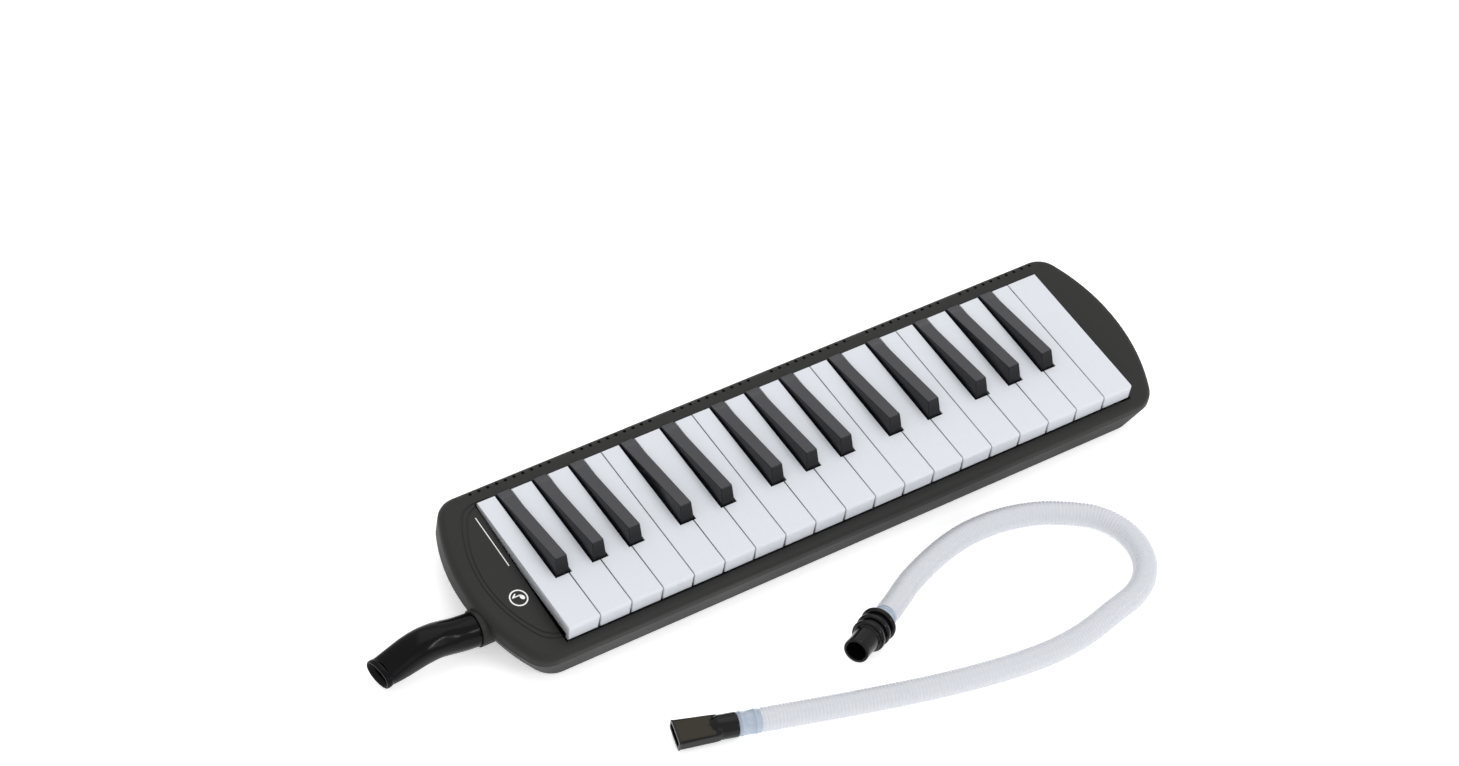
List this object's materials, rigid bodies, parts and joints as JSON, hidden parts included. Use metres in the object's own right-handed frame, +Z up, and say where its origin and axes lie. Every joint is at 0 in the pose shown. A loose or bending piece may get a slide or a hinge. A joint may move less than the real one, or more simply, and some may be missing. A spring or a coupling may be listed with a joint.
{
  "type": "melodica",
  "caption": "Small free-reed keyboard wind instrument in a rounded case, with hinged piano keys, a short bent mouthpiece, a drain valve and a flexible blowing hose with its own mouthpiece.",
  "frame": {"origin": "on the flat underside, at the middle of the case's length and depth", "axes": "+X along the keyboard to the treble end, +Y from the player to the rear edge with the sound holes, +Z up out of the keys"},
  "size_m": [0.4793, 0.2253, 0.0435],
  "materials": {
    "case_plastic": "fine satin moulded ABS, charcoal",
    "white_key": "semi-gloss moulded ABS",
    "black_key": "semi-gloss moulded ABS",
    "mouthpiece_plastic": "polished injection moulded",
    "hose_plastic": "translucent milky corrugated PE",
    "comb_plastic": "moulded ABS, uncoloured",
    "plate_brass": "rolled sheet",
    "reed_brass": "phosphor bronze, ground",
    "axle_steel": "drawn rod",
    "spring_steel": "spring steel",
    "screw_steel": "zinc plated",
    "gasket_rubber": "matt",
    "felt": "pressed wool felt",
    "strap_webbing": "woven polyester webbing",
    "button_plastic": "moulded"
  },
  "bodies": {
    "case": {"upper_case": "case_plastic", "lower_case": "case_plastic", "case_screws": "screw_steel", "reed_comb": "comb_plastic", "key_axle": "axle_steel", "reed_plate_low": "plate_brass", "reed_plate_high": "plate_brass", "reeds": "reed_brass", "reed_rivets": "plate_brass", "reed_plate_screws": "screw_steel", "chamber_gasket": "gasket_rubber", "chamber_cover": "comb_plastic", "chamber_screws": "screw_steel", "key_springs": "spring_steel", "white_key_felt": "felt", "black_key_felt": "felt", "inlet_duct": "comb_plastic", "mouthpiece_socket": "case_plastic", "socket_seal": "gasket_rubber", "drain_spring": "spring_steel", "hand_strap": "strap_webbing", "strap_screws": "screw_steel"},
    "key_f3_body": {"key_f3": "white_key"},
    "key_fs3_body": {"key_fs3": "black_key"},
    "key_g3_body": {"key_g3": "white_key"},
    "key_gs3_body": {"key_gs3": "black_key"},
    "key_a3_body": {"key_a3": "white_key"},
    "key_as3_body": {"key_as3": "black_key"},
    "key_b3_body": {"key_b3": "white_key"},
    "key_c4_body": {"key_c4": "white_key"},
    "key_cs4_body": {"key_cs4": "black_key"},
    "key_d4_body": {"key_d4": "white_key"},
    "key_ds4_body": {"key_ds4": "black_key"},
    "key_e4_body": {"key_e4": "white_key"},
    "key_f4_body": {"key_f4": "white_key"},
    "key_fs4_body": {"key_fs4": "black_key"},
    "key_g4_body": {"key_g4": "white_key"},
    "key_gs4_body": {"key_gs4": "black_key"},
    "key_a4_body": {"key_a4": "white_key"},
    "key_as4_body": {"key_as4": "black_key"},
    "key_b4_body": {"key_b4": "white_key"},
    "key_c5_body": {"key_c5": "white_key"},
    "key_cs5_body": {"key_cs5": "black_key"},
    "key_d5_body": {"key_d5": "white_key"},
    "key_ds5_body": {"key_ds5": "black_key"},
    "key_e5_body": {"key_e5": "white_key"},
    "key_f5_body": {"key_f5": "white_key"},
    "key_fs5_body": {"key_fs5": "black_key"},
    "key_g5_body": {"key_g5": "white_key"},
    "key_gs5_body": {"key_gs5": "black_key"},
    "key_a5_body": {"key_a5": "white_key"},
    "key_as5_body": {"key_as5": "black_key"},
    "key_b5_body": {"key_b5": "white_key"},
    "key_c6_body": {"key_c6": "white_key"},
    "mouthpiece": {"short_mouthpiece": "mouthpiece_plastic"},
    "drain": {"drain_button": "button_plastic", "drain_seal": "gasket_rubber"},
    "blow_hose": {"hose": "hose_plastic", "hose_plug": "mouthpiece_plastic", "hose_mouthpiece": "mouthpiece_plastic"}
  },
  "joints": [
    {"name": "press_f3", "type": "hinge", "parent": "case", "child": "key_f3_body", "pos_m": [-0.1685, 0.032, 0.0234], "axis": [1, 0, 0], "range_deg": [0, 3], "stiffness_Nm_per_rad": 0.35, "springref_deg": -5.16, "deforming": ["key_springs"]},
    {"name": "press_fs3", "type": "hinge", "parent": "case", "child": "key_fs3_body", "pos_m": [-0.1622, 0.032, 0.0234], "axis": [1, 0, 0], "range_deg": [0, 3], "stiffness_Nm_per_rad": 0.35, "springref_deg": -5.16, "deforming": ["key_springs"]},
    {"name": "press_g3", "type": "hinge", "parent": "case", "child": "key_g3_body", "pos_m": [-0.1495, 0.032, 0.0234], "axis": [1, 0, 0], "range_deg": [0, 3], "stiffness_Nm_per_rad": 0.35, "springref_deg": -5.16, "deforming": ["key_springs"]},
    {"name": "press_gs3", "type": "hinge", "parent": "case", "child": "key_gs3_body", "pos_m": [-0.14, 0.032, 0.0234], "axis": [1, 0, 0], "range_deg": [0, 3], "stiffness_Nm_per_rad": 0.35, "springref_deg": -5.16, "deforming": ["key_springs"]},
    {"name": "press_a3", "type": "hinge", "parent": "case", "child": "key_a3_body", "pos_m": [-0.1305, 0.032, 0.0234], "axis": [1, 0, 0], "range_deg": [0, 3], "stiffness_Nm_per_rad": 0.35, "springref_deg": -5.16, "deforming": ["key_springs"]},
    {"name": "press_as3", "type": "hinge", "parent": "case", "child": "key_as3_body", "pos_m": [-0.1178, 0.032, 0.0234], "axis": [1, 0, 0], "range_deg": [0, 3], "stiffness_Nm_per_rad": 0.35, "springref_deg": -5.16, "deforming": ["key_springs"]},
    {"name": "press_b3", "type": "hinge", "parent": "case", "child": "key_b3_body", "pos_m": [-0.1115, 0.032, 0.0234], "axis": [1, 0, 0], "range_deg": [0, 3], "stiffness_Nm_per_rad": 0.35, "springref_deg": -5.16, "deforming": ["key_springs"]},
    {"name": "press_c4", "type": "hinge", "parent": "case", "child": "key_c4_body", "pos_m": [-0.0925, 0.032, 0.0234], "axis": [1, 0, 0], "range_deg": [0, 3], "stiffness_Nm_per_rad": 0.35, "springref_deg": -5.16, "deforming": ["key_springs"]},
    {"name": "press_cs4", "type": "hinge", "parent": "case", "child": "key_cs4_body", "pos_m": [-0.0862, 0.032, 0.0234], "axis": [1, 0, 0], "range_deg": [0, 3], "stiffness_Nm_per_rad": 0.35, "springref_deg": -5.16, "deforming": ["key_springs"]},
    {"name": "press_d4", "type": "hinge", "parent": "case", "child": "key_d4_body", "pos_m": [-0.0735, 0.032, 0.0234], "axis": [1, 0, 0], "range_deg": [0, 3], "stiffness_Nm_per_rad": 0.35, "springref_deg": -5.16, "deforming": ["key_springs"]},
    {"name": "press_ds4", "type": "hinge", "parent": "case", "child": "key_ds4_body", "pos_m": [-0.0608, 0.032, 0.0234], "axis": [1, 0, 0], "range_deg": [0, 3], "stiffness_Nm_per_rad": 0.35, "springref_deg": -5.16, "deforming": ["key_springs"]},
    {"name": "press_e4", "type": "hinge", "parent": "case", "child": "key_e4_body", "pos_m": [-0.0545, 0.032, 0.0234], "axis": [1, 0, 0], "range_deg": [0, 3], "stiffness_Nm_per_rad": 0.35, "springref_deg": -5.16, "deforming": ["key_springs"]},
    {"name": "press_f4", "type": "hinge", "parent": "case", "child": "key_f4_body", "pos_m": [-0.0355, 0.032, 0.0234], "axis": [1, 0, 0], "range_deg": [0, 3], "stiffness_Nm_per_rad": 0.35, "springref_deg": -5.16, "deforming": ["key_springs"]},
    {"name": "press_fs4", "type": "hinge", "parent": "case", "child": "key_fs4_body", "pos_m": [-0.0292, 0.032, 0.0234], "axis": [1, 0, 0], "range_deg": [0, 3], "stiffness_Nm_per_rad": 0.35, "springref_deg": -5.16, "deforming": ["key_springs"]},
    {"name": "press_g4", "type": "hinge", "parent": "case", "child": "key_g4_body", "pos_m": [-0.0165, 0.032, 0.0234], "axis": [1, 0, 0], "range_deg": [0, 3], "stiffness_Nm_per_rad": 0.35, "springref_deg": -5.16, "deforming": ["key_springs"]},
    {"name": "press_gs4", "type": "hinge", "parent": "case", "child": "key_gs4_body", "pos_m": [-0.007, 0.032, 0.0234], "axis": [1, 0, 0], "range_deg": [0, 3], "stiffness_Nm_per_rad": 0.35, "springref_deg": -5.16, "deforming": ["key_springs"]},
    {"name": "press_a4", "type": "hinge", "parent": "case", "child": "key_a4_body", "pos_m": [0.0025, 0.032, 0.0234], "axis": [1, 0, 0], "range_deg": [0, 3], "stiffness_Nm_per_rad": 0.35, "springref_deg": -5.16, "deforming": ["key_springs"]},
    {"name": "press_as4", "type": "hinge", "parent": "case", "child": "key_as4_body", "pos_m": [0.0152, 0.032, 0.0234], "axis": [1, 0, 0], "range_deg": [0, 3], "stiffness_Nm_per_rad": 0.35, "springref_deg": -5.16, "deforming": ["key_springs"]},
    {"name": "press_b4", "type": "hinge", "parent": "case", "child": "key_b4_body", "pos_m": [0.0215, 0.032, 0.0234], "axis": [1, 0, 0], "range_deg": [0, 3], "stiffness_Nm_per_rad": 0.35, "springref_deg": -5.16, "deforming": ["key_springs"]},
    {"name": "press_c5", "type": "hinge", "parent": "case", "child": "key_c5_body", "pos_m": [0.0405, 0.032, 0.0234], "axis": [1, 0, 0], "range_deg": [0, 3], "stiffness_Nm_per_rad": 0.35, "springref_deg": -5.16, "deforming": ["key_springs"]},
    {"name": "press_cs5", "type": "hinge", "parent": "case", "child": "key_cs5_body", "pos_m": [0.0468, 0.032, 0.0234], "axis": [1, 0, 0], "range_deg": [0, 3], "stiffness_Nm_per_rad": 0.35, "springref_deg": -5.16, "deforming": ["key_springs"]},
    {"name": "press_d5", "type": "hinge", "parent": "case", "child": "key_d5_body", "pos_m": [0.0595, 0.032, 0.0234], "axis": [1, 0, 0], "range_deg": [0, 3], "stiffness_Nm_per_rad": 0.35, "springref_deg": -5.16, "deforming": ["key_springs"]},
    {"name": "press_ds5", "type": "hinge", "parent": "case", "child": "key_ds5_body", "pos_m": [0.0722, 0.032, 0.0234], "axis": [1, 0, 0], "range_deg": [0, 3], "stiffness_Nm_per_rad": 0.35, "springref_deg": -5.16, "deforming": ["key_springs"]},
    {"name": "press_e5", "type": "hinge", "parent": "case", "child": "key_e5_body", "pos_m": [0.0785, 0.032, 0.0234], "axis": [1, 0, 0], "range_deg": [0, 3], "stiffness_Nm_per_rad": 0.35, "springref_deg": -5.16, "deforming": ["key_springs"]},
    {"name": "press_f5", "type": "hinge", "parent": "case", "child": "key_f5_body", "pos_m": [0.0975, 0.032, 0.0234], "axis": [1, 0, 0], "range_deg": [0, 3], "stiffness_Nm_per_rad": 0.35, "springref_deg": -5.16, "deforming": ["key_springs"]},
    {"name": "press_fs5", "type": "hinge", "parent": "case", "child": "key_fs5_body", "pos_m": [0.1038, 0.032, 0.0234], "axis": [1, 0, 0], "range_deg": [0, 3], "stiffness_Nm_per_rad": 0.35, "springref_deg": -5.16, "deforming": ["key_springs"]},
    {"name": "press_g5", "type": "hinge", "parent": "case", "child": "key_g5_body", "pos_m": [0.1165, 0.032, 0.0234], "axis": [1, 0, 0], "range_deg": [0, 3], "stiffness_Nm_per_rad": 0.35, "springref_deg": -5.16, "deforming": ["key_springs"]},
    {"name": "press_gs5", "type": "hinge", "parent": "case", "child": "key_gs5_body", "pos_m": [0.126, 0.032, 0.0234], "axis": [1, 0, 0], "range_deg": [0, 3], "stiffness_Nm_per_rad": 0.35, "springref_deg": -5.16, "deforming": ["key_springs"]},
    {"name": "press_a5", "type": "hinge", "parent": "case", "child": "key_a5_body", "pos_m": [0.1355, 0.032, 0.0234], "axis": [1, 0, 0], "range_deg": [0, 3], "stiffness_Nm_per_rad": 0.35, "springref_deg": -5.16, "deforming": ["key_springs"]},
    {"name": "press_as5", "type": "hinge", "parent": "case", "child": "key_as5_body", "pos_m": [0.1482, 0.032, 0.0234], "axis": [1, 0, 0], "range_deg": [0, 3], "stiffness_Nm_per_rad": 0.35, "springref_deg": -5.16, "deforming": ["key_springs"]},
    {"name": "press_b5", "type": "hinge", "parent": "case", "child": "key_b5_body", "pos_m": [0.1545, 0.032, 0.0234], "axis": [1, 0, 0], "range_deg": [0, 3], "stiffness_Nm_per_rad": 0.35, "springref_deg": -5.16, "deforming": ["key_springs"]},
    {"name": "press_c6", "type": "hinge", "parent": "case", "child": "key_c6_body", "pos_m": [0.1735, 0.032, 0.0234], "axis": [1, 0, 0], "range_deg": [0, 3], "stiffness_Nm_per_rad": 0.35, "springref_deg": -5.16, "deforming": ["key_springs"]},
    {"name": "mouthpiece_pull", "type": "slide", "parent": "case", "child": "mouthpiece", "axis": [-1, 0, 0], "range_m": [0, 0.03]},
    {"name": "drain_press", "type": "slide", "parent": "case", "child": "drain", "axis": [-1, 0, 0], "range_m": [0, 0.0025], "stiffness_N_per_m": 400, "springref_m": -0.003, "deforming": ["drain_spring"]},
    {"name": "hose_lift", "type": "slide", "parent": "case", "child": "blow_hose", "axis": [0, 0, 1], "range_m": [0, 0.2]}
  ]
}
